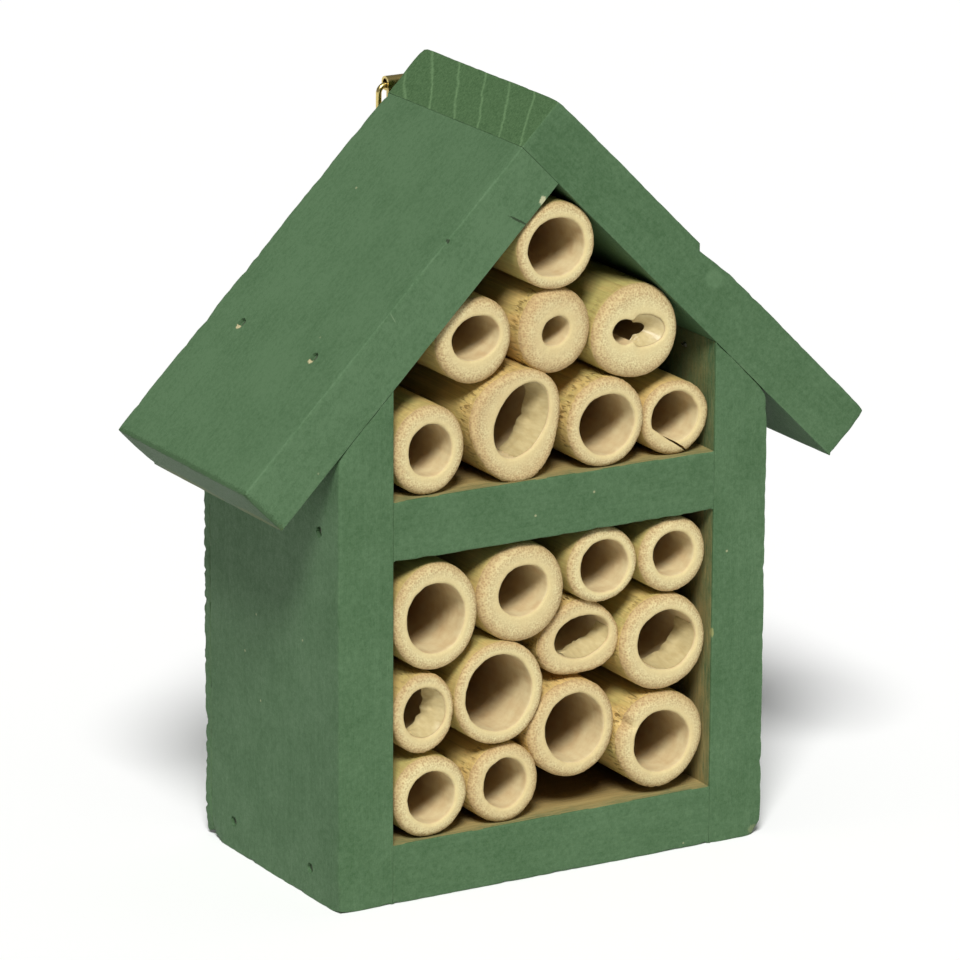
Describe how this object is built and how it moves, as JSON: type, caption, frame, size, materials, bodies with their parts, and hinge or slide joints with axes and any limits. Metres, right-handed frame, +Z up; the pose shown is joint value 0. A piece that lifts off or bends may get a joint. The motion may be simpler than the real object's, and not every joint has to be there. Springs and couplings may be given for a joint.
{
  "type": "insect hotel",
  "caption": "Small gabled insect hotel of green painted boards, packed with bamboo canes above and below a shelf, with a swinging brass ring hanger on its back.",
  "frame": {"origin": "on the ground under the house, midway between its side walls and midway between its front and the back of its back panel", "axes": "+Z up to the ridge, +Y to the back, +X to the right as seen from the front"},
  "size_m": [0.1452, 0.06, 0.162],
  "materials": {
    "painted_wood": "matt water-based paint on softwood",
    "painted_plywood": "matt water-based paint on plywood",
    "bamboo": "dry, sanded end grain",
    "steel": "bright drawn wire",
    "brass": "brass-plated"
  },
  "bodies": {
    "house": {"wall_left": "painted_wood", "wall_right": "painted_wood", "floor_board": "painted_wood", "shelf": "painted_wood", "roof_board_left": "painted_wood", "roof_board_right": "painted_wood", "back_panel": "painted_plywood", "cane_upper_1": "bamboo", "cane_upper_2": "bamboo", "cane_upper_3": "bamboo", "cane_upper_4": "bamboo", "cane_upper_5": "bamboo", "cane_upper_6": "bamboo", "cane_upper_7": "bamboo", "cane_upper_8": "bamboo", "cane_lower_1": "bamboo", "cane_lower_2": "bamboo", "cane_lower_3": "bamboo", "cane_lower_4": "bamboo", "cane_lower_5": "bamboo", "cane_lower_6": "bamboo", "cane_lower_7": "bamboo", "cane_lower_8": "bamboo", "cane_lower_9": "bamboo", "cane_lower_10": "bamboo", "cane_lower_11": "bamboo", "cane_lower_12": "bamboo", "wall_brads_left": "steel", "wall_brads_right": "steel", "eave_staples_left": "steel", "eave_staples_right": "steel", "ridge_staples": "steel", "panel_brads": "steel", "hanger_strap": "brass", "hanger_screw": "brass"},
    "hanger_ring": {"hanger_ring": "brass"}
  },
  "joints": [
    {"name": "ring_swing", "type": "hinge", "parent": "house", "child": "hanger_ring", "pos_m": [0, 0.03, 0.15385], "axis": [1, 0, 0], "range_deg": [0, 180]}
  ]
}
